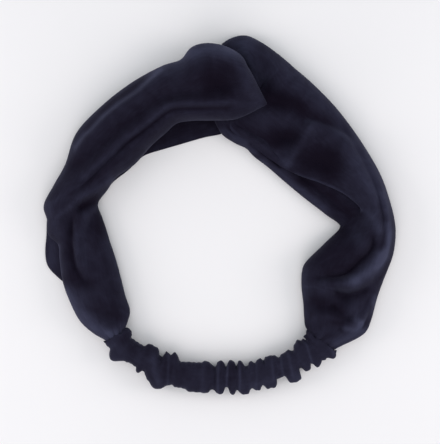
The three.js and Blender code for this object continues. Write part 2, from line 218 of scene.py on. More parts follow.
def line_distance(places: np.ndarray, line: np.ndarray) -> tuple[np.ndarray, np.ndarray]:
    """Signed distance of places from a polyline, and how far along it they lie.

    Args:
        places: Points in plan, one to a row.
        line: The polyline's points.

    Returns:
        Distance, above 0 on the line's left side, and the share of the line's length passed.
    """
    best = np.full(len(places), np.inf)
    signed = np.zeros(len(places))
    along = np.zeros(len(places))
    steps = np.linalg.norm(np.diff(line, axis=0), axis=1)
    passed = np.concatenate([[0], np.cumsum(steps)])
    for start, end, step, before in zip(line[:-1], line[1:], steps, passed):
        way = (end - start) / step
        offset = places - start
        reach = np.clip(offset @ way, 0, step)
        gap = offset - reach[:, None] * way
        distance = np.hypot(gap[:, 0], gap[:, 1])
        side = np.sign(way[0] * offset[:, 1] - way[1] * offset[:, 0])
        nearer = distance < best
        best = np.where(nearer, distance, best)
        signed = np.where(nearer, distance * side, signed)
        along = np.where(nearer, (before + reach) / passed[-1], along)
    return signed, along


def relief(places: np.ndarray, folds: tuple[Fold, ...], dents: tuple[Dent, ...]) -> np.ndarray:
    """Height that folds and dents add.

    Args:
        places: Points in plan, one to a row.
        folds: The leg's creases.
        dents: Its rises and hollows.

    Returns:
        One height for each place.
    """
    height = np.zeros(len(places))
    for fold in folds:
        distance, along = line_distance(places, smooth_line(fold.line, FOLD_STEPS))
        left = np.exp(-((distance / fold.left) ** 2))
        near = np.exp(-((distance / fold.right) ** 2))
        far = np.exp(-((distance / (DROP_REACH * fold.right)) ** 2))
        right = (1 + fold.drop) * near - fold.drop * far
        taper = smoothstep(along / FOLD_TAPER) * smoothstep((1 - along) / FOLD_TAPER)
        height += fold.height * taper * np.where(distance > 0, left, right)
    for dent in dents:
        turn = math.radians(dent.turn)
        x, y = places[:, 0] - dent.x, places[:, 1] - dent.y
        along = (x * math.cos(turn) + y * math.sin(turn)) / dent.along
        across = (y * math.cos(turn) - x * math.sin(turn)) / dent.across
        height += dent.height * np.exp(-(along**2) - across**2)
    return height


def brushed_and_painted_light(places: np.ndarray, strokes: tuple[Stroke, ...]) -> np.ndarray:
    """Lightening, or darkening below 0, that the strokes paint: partly brushed nap, partly painted
    highlights and painted shade.

    Args:
        places: Points in plan, one to a row.
        strokes: The strokes.

    Returns:
        One amount for each place.
    """
    lightness = np.zeros(len(places))
    for stroke in strokes:
        distance, _ = line_distance(places, smooth_line(stroke.line, STROKE_STEPS))
        lightness += stroke.amount * np.exp(-((distance / stroke.width) ** 2))
    return lightness


def wrinkle(x: float, y: float, z: float, scale: float) -> float:
    """Smooth noise at a place, from -1 to 1, over lumps of about scale millimetres."""
    return noise.noise(Vector((x, y, z)) / scale)


def wander(places: np.ndarray, y: float, z: float, scale: float) -> np.ndarray:
    """Smooth noise at places along a line, from -1 to 1."""
    return np.array([wrinkle(x, y, z, scale) for x in places])


# ---------------------------------------------------------------------------- mesh helpers


def deselect() -> None:
    """Clears the selection."""
    bpy.ops.object.select_all(action="DESELECT")


def grid_piece(
    name: str, surface: np.ndarray, uv: np.ndarray, nap_and_light: np.ndarray, closed: bool = False
) -> bpy.types.Object:
    """Grid primitive shaped to a surface.

    Args:
        name: The piece's name.
        surface: Points by row and column, in metres.
        uv: The flat cloth's place of each point, by row and column.
        nap_and_light: How light the cloth is painted at each point, from 0 to 1: the nap's lay with
            painted highlights and painted shade.
        closed: Whether the last column joins the first, as on a tube.

    Returns:
        The new object, at the origin.
    """
    deselect()
    rows, columns = surface.shape[:2]
    bpy.ops.mesh.primitive_grid_add(x_subdivisions=columns - 1, y_subdivisions=rows - 1, size=1)
    piece = bpy.context.object
    piece.name = piece.data.name = name
    mesh = piece.data
    flat = np.empty(len(mesh.vertices) * 3)
    mesh.vertices.foreach_get("co", flat)
    flat = flat.reshape(-1, 3)
    column = np.rint((flat[:, 0] + 0.5) * (columns - 1)).astype(int)
    row = np.rint((flat[:, 1] + 0.5) * (rows - 1)).astype(int)
    mesh.vertices.foreach_set("co", surface[row, column].ravel())
    corners = np.empty(len(mesh.loops), int)
    mesh.loops.foreach_get("vertex_index", corners)
    layer = mesh.uv_layers[0] if mesh.uv_layers else mesh.uv_layers.new(name="cloth")
    layer.name = "cloth"
    layer.data.foreach_set("uv", uv[row[corners], column[corners]].ravel())
    # The tone attribute: the nap's lay with painted highlights and painted shade.
    mesh.attributes.new("nap_and_light", "FLOAT", "POINT").data.foreach_set("value", nap_and_light[row, column])
    mesh.update()
    if closed:
        bpy.ops.object.mode_set(mode="EDIT")
        bpy.ops.mesh.select_all(action="SELECT")
        bpy.ops.mesh.remove_doubles(threshold=SEAM_GAP)
        bpy.ops.object.mode_set(mode="OBJECT")
    return piece


def finish_wall(piece: bpy.types.Object, wall: float, offset: float) -> None:
    """Gives a surface its wall, sets it on the floor and rounds it.

    Args:
        piece: The piece, still a bare surface.
        wall: The cloth's thickness, in millimetres.
        offset: 0 grows the wall to both sides, -1 only inwards.
    """
    bpy.context.view_layer.objects.active = piece
    solidify = piece.modifiers.new("wall", "SOLIDIFY")
    solidify.thickness = wall * MM
    solidify.offset = offset
    solidify.use_even_offset = False
    bpy.ops.object.modifier_apply(modifier="wall")
    for vertex in piece.data.vertices:
        vertex.co.z = max(vertex.co.z, 0)
    rounding = piece.modifiers.new("rounding", "SUBSURF")
    rounding.levels = rounding.render_levels = 1
    bpy.ops.object.modifier_apply(modifier="rounding")
    bpy.ops.object.shade_smooth()
    deselect()


# ---------------------------------------------------------------------------- finishes


def new_material(name: str) -> tuple[bpy.types.Material, bpy.types.Node]:
    """Starts a material.

    Args:
        name: Its name.

    Returns:
        The material and its Principled shader.
    """
    material = bpy.data.materials.new(name)
    material.use_nodes = True
    return material, material.node_tree.nodes["Principled BSDF"]


def add_node(tree: bpy.types.NodeTree, kind: str, **values: float | tuple) -> bpy.types.Node:
    """Adds a node.

    Args:
        tree: The material's tree or the group that it goes into.
        kind: The node's type.
        values: What its named inputs are set to.

    Returns:
        The new node.
    """
    node = tree.nodes.new(kind)
    for socket, value in values.items():
        node.inputs[socket].default_value = value
    return node


def connect(tree: bpy.types.NodeTree, *ways: tuple) -> None:
    """Links nodes, each way being a node, its output, the next node and its input."""
    for source, output, target, entry in ways:
        tree.links.new(source.outputs[output], target.inputs[entry])


class PileEffect:
    """Shader group that velvet and elastic share: the lay of the nap, the painted highlights and painted
    shade that come in with it, and its fine pile.
    """

    NAME = "cloth_pile"
    NAP_DETAIL = 3
    NAP_DISTORTION = 0.6
    STRETCH = (1, 0.16, 1)
    STREAK_SCALE = 900
    STREAK_DETAIL = 2
    STREAK_SHARE = 0.35
    STREAK_HEIGHT = 0.3
    PILE_DETAIL = 1
    NO_PATCH = 0.5
    TONE_POWER = 2

    def __init__(self) -> None:
        """Builds the group once."""
        self.tree = bpy.data.node_groups.new(self.NAME, "ShaderNodeTree")
        self._sockets()
        self._nodes()

    def _sockets(self) -> None:
        """Named inputs and outputs."""
        add = self.tree.interface.new_socket
        for name, kind, value in (
            ("Vector", "Vector", None),
            ("Dark", "Color", None),
            ("Light", "Color", None),
            # The tone input: brushed nap with painted highlights and painted shade.
            ("Nap And Light", "Float", 0.5),
            ("Patchiness", "Float", None),
            ("Nap Scale", "Float", None),
            ("Pile Scale", "Float", None),
            ("Roughness From", "Float", 0.75),
            ("Roughness To", "Float", 1.0),
        ):
            socket = add(name=name, in_out="INPUT", socket_type=f"NodeSocket{kind}")
            if value is not None:
                socket.default_value = value
        for name, kind in (("Color", "Color"), ("Roughness", "Float"), ("Height", "Float")):
            add(name=name, in_out="OUTPUT", socket_type=f"NodeSocket{kind}")

    def _nodes(self) -> None:
        """Nap patches, brushed streaks, the painted highlights and painted shade that come in as tone,
        and pile.
        """
        tree = self.tree
        noise_kind = "ShaderNodeTexNoise"
        entry = add_node(tree, "NodeGroupInput")
        leave = add_node(tree, "NodeGroupOutput")
        nap_and_light = add_node(tree, noise_kind, Detail=self.NAP_DETAIL, Distortion=self.NAP_DISTORTION)
        stretch = add_node(tree, "ShaderNodeMapping", Scale=self.STRETCH)
        streaks = add_node(tree, noise_kind, Scale=self.STREAK_SCALE, Detail=self.STREAK_DETAIL)
        pile = add_node(tree, noise_kind, Detail=self.PILE_DETAIL)
        lay = add_node(tree, "ShaderNodeMix", Factor=self.STREAK_SHARE)
        height = add_node(tree, "ShaderNodeMix", Factor=self.STREAK_HEIGHT)
        matt = add_node(tree, "ShaderNodeMapRange")
        tone = add_node(tree, "ShaderNodeMix")
        tone.data_type = "RGBA"
        offset, spread, deep = (add_node(tree, "ShaderNodeMath") for _ in range(3))
        offset.operation = "SUBTRACT"
        offset.inputs[1].default_value = self.NO_PATCH
        spread.operation = "MULTIPLY_ADD"
        spread.use_clamp = True
        deep.operation = "POWER"
        deep.inputs[1].default_value = self.TONE_POWER
        connect(
            tree,
            (entry, "Vector", nap_and_light, "Vector"),
            (entry, "Nap Scale", nap_and_light, "Scale"),
            (entry, "Vector", stretch, "Vector"),
            (stretch, "Vector", streaks, "Vector"),
            (entry, "Vector", pile, "Vector"),
            (entry, "Pile Scale", pile, "Scale"),
            (nap_and_light, "Fac", lay, "A"),
            (streaks, "Fac", lay, "B"),
            (lay, "Result", offset, 0),
            (offset, "Value", spread, 0),
            (entry, "Patchiness", spread, 1),
            (entry, "Nap And Light", spread, 2),
            (spread, "Value", deep, 0),
            (deep, "Value", tone, "Factor"),
            (entry, "Dark", tone, "A"),
            (entry, "Light", tone, "B"),
            (spread, "Value", matt, "Value"),
            (entry, "Roughness From", matt, "To Min"),
            (entry, "Roughness To", matt, "To Max"),
            (pile, "Fac", height, "A"),
            (streaks, "Fac", height, "B"),
            (tone, "Result", leave, "Color"),
            (matt, "Result", leave, "Roughness"),
            (height, "Result", leave, "Height"),
        )


@dataclass(frozen=True)
class ClothFinish:
    """A cloth's colours, sheen and pile."""

    name: str
    dark: Colour
    light: Colour
    sheen: float
    sheen_roughness: float
    sheen_tint: Colour
    bump: float
    # Whether the cloth reads the painted tone: brushed nap, painted highlights and painted shade.
    brushed_and_painted_light: bool = True
    patchiness: float = 0.56
    nap_scale: float = 90.0
    pile_scale: float = 2600.0
    pile_depth: float = 0.0004
    gloss: float = 0.06

    def build(self, pile: PileEffect) -> bpy.types.Material:
        """Makes the material.

        Args:
            pile: The shared nap and pile group.

        Returns:
            The finished material.
        """
        material, shader = new_material(self.name)
        tree = material.node_tree
        place = add_node(tree, "ShaderNodeUVMap")
        place.uv_map = "cloth"
        group = add_node(tree, "ShaderNodeGroup")
        group.node_tree = pile.tree
        for socket, value in (
            ("Dark", (*self.dark, 1)),
            ("Light", (*self.light, 1)),
            ("Patchiness", self.patchiness),
            ("Nap Scale", self.nap_scale),
            ("Pile Scale", self.pile_scale),
        ):
            group.inputs[socket].default_value = value
        bump = add_node(tree, "ShaderNodeBump", Strength=self.bump, Distance=self.pile_depth)
        # Reads the painted tone attribute: brushed nap with painted highlights and painted shade.
        if self.brushed_and_painted_light:
            nap_and_light = add_node(tree, "ShaderNodeAttribute")
            nap_and_light.attribute_name = "nap_and_light"
            connect(tree, (nap_and_light, "Fac", group, "Nap And Light"))
        connect(
            tree,
            (place, "UV", group, "Vector"),
            (group, "Height", bump, "Height"),
            (group, "Color", shader, "Base Color"),
            (group, "Roughness", shader, "Roughness"),
            (bump, "Normal", shader, "Normal"),
        )
        shader.inputs["Specular IOR Level"].default_value = self.gloss
        shader.inputs["Sheen Weight"].default_value = self.sheen
        shader.inputs["Sheen Roughness"].default_value = self.sheen_roughness
        shader.inputs["Sheen Tint"].default_value = (*self.sheen_tint, 1)
        return material


VELVET = ClothFinish(
    name="black_velvet",
    dark=(0.0042, 0.0021, 0.0074),
    light=(0.0400, 0.0412, 0.0740),
    sheen=0.10,
    sheen_roughness=0.4,
    sheen_tint=(0.66, 0.68, 1.0),
    bump=0.55,
    nap_scale=130.0,
    pile_scale=1500.0,
)
ELASTIC_BLACK = ClothFinish(
    name="black_elastic",
    dark=(0.006, 0.006, 0.007),
    light=(0.040, 0.040, 0.045),
    sheen=0.03,
    sheen_roughness=0.5,
    sheen_tint=(1, 1, 1),
    bump=0.5,
    brushed_and_painted_light=False,
)


# ---------------------------------------------------------------------------- bands


@dataclass
class Band:
    """A doubled velvet strip, folded into a loop of an upper and a lower leg.

    Wrinkles are smooth noise at two scales, the finer one at its own share. Pleats run out of the
    casing's mouths: they start inside the neck, ease in and fade over their reach.
    """

    name: str
    node: str
    legs: tuple[Leg, ...]
    flat: Point
    seed: float
    flipped: bool = False
    wall: float = 1.5
    columns: int = 50
    edge_crowding: float = 0.3
    roll_power: float = 2.3
    lean_power: float = 1.5
    full_crown: float = 4.0
    # Painted highlight and shade: raised folds are painted lighter and sunken creases darker, by this
    # share of their height.
    fold_shading: float = 0.02
    wrinkle_height: float = 0.5
    wrinkle_scale: float = 9.0
    fine_share: float = 0.5
    fine_scale: float = 4.0
    fine_seed: float = 7.0
    pleats: int = 5
    pleat_height: float = 0.5
    pleat_reach: float = 11.0
    pleat_ease: float = 9.0
    pleat_drift: float = 1.6
    drift_scale: float = 14.0
    neck: float = 7.0

    def surface(self) -> tuple[np.ndarray, np.ndarray]:
        """Middle surface of the strip and its painted tone.

        Returns:
            Points by row and column, in millimetres, and how light the cloth is painted at each: the
            nap's lay with painted highlights and painted shade.
        """
        sections = [section for leg in self.legs for section in leg.sections]
        legs = [leg for leg in self.legs for _ in leg.sections]
        steps = [section.rows for section in sections[:-1]]
        places = np.concatenate([i + np.arange(n) / n for i, n in enumerate(steps)] + [[len(steps)]])
        outer = spline(np.array([(s.outer_x, s.outer_y, s.outer_z) for s in sections]), places)
        inner = spline(np.array([(s.inner_x, s.inner_y, s.inner_z) for s in sections]), places)
        crown = spline(np.array([(i, s.crown) for i, s in enumerate(sections)]), places)[:, 1]
        lean = spline(np.array([(i, s.lean) for i, s in enumerate(sections)]), places)[:, 1]
        share = np.linspace(0, 1, self.columns + 1)
        across = share - self.edge_crowding * np.sin(2 * np.pi * share) / (2 * np.pi)
        roll = np.sqrt(np.maximum(0, 1 - np.abs(2 * across - 1) ** self.roll_power))
        middle = outer[:, None] + (inner - outer)[:, None] * across[None, :, None]
        rise = np.maximum(0, crown)
        middle[..., 2] += rise[:, None] * roll * (1 - lean[:, None] * across**self.lean_power)
        fullness = roll[None, :] * np.minimum(1, rise / self.full_crown)[:, None]
        owners = np.minimum(np.floor(places + NUDGE).astype(int), len(sections) - 1)
        nap_and_light = np.empty(middle.shape[:2])
        for leg in self.legs:
            chosen = np.array([legs[k] is leg for k in owners])
            block = middle[chosen]
            plan = block[..., :2].reshape(-1, 2)
            # The leg's tone: an even level plus the strokes' brushed nap, painted highlights and painted
            # shade.
            lay = leg.nap_and_light + brushed_and_painted_light(plan, leg.strokes).reshape(block.shape[:2])
            if leg.face is Face.FOLDED:
                height = relief(plan, leg.folds, leg.dents).reshape(block.shape[:2])
                # Painted shade in sunken creases and painted highlight on raised folds.
                lay += self.fold_shading * height
                block[..., 2] += fullness[chosen] * (height + self._wrinkles(block))
            middle[chosen] = block
            nap_and_light[chosen] = lay
        middle[..., 2] += self._pleats(middle, share)
        return middle, nap_and_light

    def _pleats(self, middle: np.ndarray, share: np.ndarray) -> np.ndarray:
        """Gathers that fan out of both mouths of the casing and fade along the strip.

        Args:
            middle: The strip's points by row and column.
            share: Each column's place across the strip, from 0 to 1.

        Returns:
            The height that the gathers add, by row and column.
        """
        travel = travelled(middle[:, self.columns // 2])
        from_mouth = np.minimum(travel, travel[-1] - travel) - self.neck
        fade = np.exp(-((np.maximum(0, from_mouth) / self.pleat_reach) ** 2))
        fade *= smoothstep((from_mouth + self.neck) / self.pleat_ease)
        drift = wander(travel, 0, self.seed, self.drift_scale)[:, None]
        phase = 2 * np.pi * self.pleats * share[None, :] + self.pleat_drift * drift + self.seed
        return self.pleat_height * fade[:, None] * np.sin(phase) * np.sin(np.pi * share)[None, :] ** 0.5

    def _wrinkles(self, block: np.ndarray) -> np.ndarray:
        """Small unevenness of soft cloth.

        Args:
            block: Points by row and column.

        Returns:
            The height that it adds to each.
        """
        values = [
            wrinkle(x, y, self.seed, self.wrinkle_scale)
            + self.fine_share * wrinkle(x, y, self.seed + self.fine_seed, self.fine_scale)
            for x, y, _ in block.reshape(-1, 3)
        ]
        return self.wrinkle_height * np.array(values).reshape(block.shape[:2])

    def build(self, material: bpy.types.Material) -> bpy.types.Object:
        """Args:
            material: The velvet.

        Returns:
            The finished band.
        """
        surface, nap_and_light = self.surface()
        surface *= MM
        uv = np.empty((surface.shape[0], self.columns + 1, 2))
        uv[..., 0] = np.linspace(0, self.flat[0], self.columns + 1)[None, :]
        uv[..., 1] = travelled(surface[:, self.columns // 2])[:, None]
        if self.flipped:
            surface, uv, nap_and_light = surface[:, ::-1], uv[:, ::-1], nap_and_light[:, ::-1]
        piece = grid_piece(self.name, surface, uv, nap_and_light)
        finish_wall(piece, self.wall, offset=0)
        piece.data.materials.append(material)
        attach(piece, BODY)
        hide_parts(self.node)
        log.info("%s: %d rows, %d faces", self.name, surface.shape[0], len(piece.data.polygons))
        return piece


# Sections: outer edge x, y; inner edge x, y; mesh rows to the next section. Where the cloth doesn't
# lie flat: height of the outer edge, height of the inner edge, crown, and any lean.
# Folds: height, left, right, line, and any drop. Dents: x, y, along, across, turn, height.
# Strokes: amount, width, line. They paint tone: brushed nap, painted highlights and painted shade. A line
# is x and y in turn.
LEFT_UPPER = Leg(
    face=Face.FOLDED,
    sections=table(
        Section,
        (-57.6, -76.8, -50.2, -72, 5, NECK_UPPER, NECK_UPPER, 1),
        (-63.4, -69.9, -53.2, -64, 4, 6.4, 6.4, 4.8),
        (-69.4, -66.6, -51.8, -59.6, 5, 4.8, 5, 7.6),
        (-77.4, -59.8, -50.5, -54, 7, 3.4, 3.6, 10),
        (-83.2, -49, -53, -46, 8, 3.2, 3.2, 12),
        (-87.2, -38, -55.5, -36, 8, 3.2, 3.2, 11),
        (-89, -26, -58.5, -25, 8, 3.2, 3.2, 10),
        (-90, -16.4, -62, -14.6, 5, 3.2, 3.2, 10),
        (-95.8, -11, -63.8, -8.4, 4, 1.8, 3.2, 10.4),
        (-96.2, -2.6, -66, -2, 6, 3.2, 3.4, 11),
        (-98, 4.6, -68.5, 6, 7, 3.6, 3.6, 13),
        (-92.2, 16.4, -63, 14, 7, 3.6, 4, 14),
        (-86, 27.6, -58, 21, 8, 3.6, 4.5, 15),
        (-80, 45, -48, 28, 9, 3.6, 5, 16),
        (-65, 61, -38, 39, 9, 3.8, 5.5, 17),
        (-48, 74, -30, 46, 8, 3.8, 6.5, 17.5),
        (-31, 83, -24, 51, 6, 4.8, 8.5, 18),
        (-21, 86, -14, 52.5, 4, 8.5, 11, 17),
        (-15.6, 92.4, -8.6, 52.5, 4, 10.6, 12, 16.2),
        (-8.6, 94.6, -3, 52.5, 6, 12.2, 12.6, 15.5),
        (2, 93.2, 8, 53, 5, 13.2, 12.8, 14.5),
        (11.8, 87.6, 16, 56, 4, 13.6, 13.2, 13),
        (14.8, 82, 22.5, 59.6, 4, 13.8, 13.4, 9.5),
    ),
    folds=table(
        Fold,
        (2.6, 6, 2.6, (-26, 80, -31, 77.8, -35, 74.4, -39, 70.4, -43, 66.6, -47, 63.6, -54, 58.8,
            -61.4, 52.8, -68.6, 45.6, -74.2, 40, -78.6, 34, -82, 27), 1.0),
        (-3.2, 6.5, 6.5, (-6, 69, -20, 67, -34, 64, -46, 56, -57, 46.5, -66, 38, -76, 28, -86, 19)),
        (2.1, 1.7, 3.6, (14, 64, 8, 62, 0, 61, -14, 61, -28, 59.6, -34, 56.2, -41, 51, -48, 46,
            -54, 41.4, -60, 36.3, -68, 28.5, -76, 20.6, -82, 15.4, -90, 10)),
        (-1.8, 1.6, 1.6, (2, 58.2, -14, 58.3, -26, 57.4, -33, 53, -40, 47.6, -48, 41.8, -56, 34.8,
            -64, 27.3, -72, 19.5, -80, 12.5)),
        (1.3, 2.6, 2.6, (8, 56, -6, 54.6, -18, 55.3, -27, 54.8, -32, 50, -40, 42.6, -50, 34.6, -58, 27.3,
            -66, 19.5)),
        (2.4, 3, 4, (-6, 90, 3, 88, 9.5, 84, 13, 78, 15.5, 71, 16, 63)),
        (2.6, 1.4, 3.2, (-58, 21.5, -66, 15.5, -70, 12.8, -74, 10.9, -77.5, 8.3, -80.8, 5, -85, 1.6)),
        (-2.6, 3, 2.2, (-66, 9, -71, 7.6, -76, 5.4, -79.6, 2)),
        (-1.9, 2, 2.4, (-80, 1, -81.6, -6, -81.8, -14, -81, -22, -79.4, -29, -76, -35, -70, -39)),
        (1.8, 3, 1.2, (-78.6, 2.5, -79.4, -4, -79.5, -12, -79.1, -19, -77.6, -26, -75, -33)),
        (1.6, 1.3, 2.2, (-67, 6, -70.5, 3.4, -72.8, 1, -74.4, -2.4, -75.4, -8)),
        (-1.2, 2, 2, (-66.5, 2.5, -70, 0, -72, -4, -72.6, -10)),
        (1.2, 2.2, 3, (-86.5, -2, -87.2, -14, -86, -26, -83.5, -36)),
    ),
    dents=table(
        Dent,
        (0, 71, 11, 6.5, 8, -5.6),
        (1, 81, 6, 5, 0, -1.6),
        (-60, -56.5, 6, 5, 20, -2.6),
        (-64, -22, 5, 16, 8, 1.0),
        (-77, -38, 7, 5, 0, -1.4),
        (-97, 4, 5, 6, 0, 1.2),
    ),
    # Painted highlights on rims and ridges, painted shade in valleys, hollows and under lips, and some
    # brushed nap.
    strokes=table(
        Stroke,
        (0.10, 4, (-90, 20, -84, 36, -76, 48, -62, 62, -46, 73)),
        (0.34, 1.6, (-79.8, 36.7, -75.7, 42.2, -70.2, 47.2, -62.7, 54.8, -55.1, 60.8, -48, 65.6,
            -42, 70.4, -36.6, 75.6, -33, 79)),
        (-0.10, 1.6, (-66, 56.4, -58, 63, -50, 68.6, -43, 73.6)),
        (0.30, 5.5, (-36, 79, -24, 83, -17, 88, -9, 92, 0, 92, 8, 90)),
        (0.22, 4, (-15, 87, -8, 89, 0, 90, 4, 89)),
        (0.14, 4, (6, 91, 11, 85, 13.4, 78, 16, 70, 21, 63)),
        (-0.24, 8.5, (-3, 71, 2, 69)),
        (-0.12, 6, (3, 80, -4, 76)),
        (-0.09, 4, (-8, 65, -30, 62, -42, 56)),
        (-0.08, 6, (-48, 52, -57, 45, -67, 35, -77, 25)),
        (0.15, 1.1, (9, 61.6, -14, 61, -26, 60.4, -31, 57.8, -40, 50.4, -46, 46, -53, 41, -61, 33.6,
            -69, 26.4, -76, 20)),
        (-0.20, 1.1, (4, 58.8, -14, 58.6, -25, 58.2, -33, 53.4, -42, 46.5, -54, 36.6)),
        (-0.06, 3, (-20, 55.6, -30, 51, -38, 43.6, -48, 35.6, -58, 27.6)),
        (0.12, 1.6, (-58, 34, -68, 25, -76, 18, -86, 11, -93, 6)),
        (-0.10, 1.4, (-55, 31, -64, 23.6, -74, 16, -82, 11)),
        (0.16, 1.2, (-60, 20.5, -68, 14.6, -74, 11.2, -80, 6.6, -84, 3, -90, -1)),
        (-0.26, 3.2, (-69, 9, -73, 7, -76.5, 4.6)),
        (-0.11, 3.2, (-80, 0, -82.5, -8, -84, -16, -83, -25, -80, -32)),
        (-0.10, 0.9, (-81.4, -5, -81.6, -12, -81.4, -21)),
        (0.12, 1.1, (-79.6, -6, -79, -14, -78.6, -22)),
        (0.10, 2.4, (-69, 5, -73, 1, -75.5, -6, -76, -16, -75, -28)),
        (-0.18, 4, (-66, -3, -68, -8)),
        (-0.15, 3.4, (-84, -36, -79, -38, -73, -38.6)),
        (0.40, 0.9, (-89.4, -17, -89.2, -22, -88.8, -28, -88, -33)),
        (0.10, 3.4, (-96, 3, -93, -3, -91, -10)),
        (0.39, 4.4, (-85, -43, -82, -50, -78, -56.5, -72, -61.5, -65, -66, -60, -68)),
        (0.14, 6, (-77, -46, -74, -53, -68, -60)),
        (-0.11, 6, (-66, -55, -60, -54)),
        (0.14, 2.4, (-63, -16, -58, -30, -54, -44, -52, -56)),
        (0.20, 3, (-61, -66, -56, -64.6, -53.4, -62)),
        (0.06, 5, (-94, 8, -92, -4)),
        (-0.16, 0.9, (-97, -6, -96, -10.4, -93.4, -13.4, -90.4, -15.6)),
    ),
)
LEFT_BEND = Leg(
    sections=table(
        Section,
        (17.4, 77.2, 25.8, 61.3, 5, 14.2, 14, 2),
        (13, 74.6, 20, 63.6, 4, 7.5, 7.5, 0),
    ),
)
LEFT_LOWER = Leg(
    nap_and_light=0.5,
    sections=table(
        Section,
        (11, 74.5, 12.5, 63, 3),
        (3, 78, 4, 46.6, 3),
        (-8, 81, -8, 43.5, 3),
        (-20, 81, -21, 39.7, 3),
        (-34, 76, -33, 36.2, 3),
        (-50, 67, -43, 32.8, 3),
        (-66, 54, -51, 25, 3),
        (-79, 39, -59.5, 18.5, 3),
        (-85, 24, -65.5, 11, 3),
        (-94.4, 7, -69.5, 5, 3, FLAT, FLAT, 1),
        (-96.5, -2, -67.5, -4, 4, FLAT, FLAT, 3.4),
        (-96.9, -12, -64, -12, 4, FLAT, FLAT, 3.6),
        (-97.6, -20.5, -61.5, -20, 4, FLAT, FLAT, 3.6),
        (-96.4, -28.5, -59, -27, 4, FLAT, FLAT, 3.4),
        (-90, -35.5, -57, -33, 3, FLAT, FLAT, 2.4),
        (-84, -41, -56, -40, 3, FLAT, FLAT, 1),
        (-80.5, -50, -54, -48, 3),
        (-75.5, -58, -52.5, -55, 3),
        (-67, -64.5, -53, -60.5, 3, 2, 2, 0),
        (-62.4, -69.6, -53.2, -64.8, 4, NECK_LOWER, NECK_LOWER, 0),
        (-57.6, -76.8, -50.2, -72, 1, NECK_LOWER, NECK_LOWER, 0),
    ),
    # Painted shade under the upper leg's lip, painted highlights along ridges and on the flap's edge, and
    # some brushed nap.
    strokes=table(
        Stroke,
        (-0.20, 9, (14, 52, -4, 52, -22, 50, -36, 42)),
        (0.12, 1.2, (0, 46.6, -5, 48.4, -9, 50.6)),
        (0.08, 1.4, (-2, 46, -14, 43.6, -26, 40.6, -36, 37)),
        (0.14, 3.6, (-95, -1, -93.6, -8, -93.4, -16, -94, -26)),
    ),
)
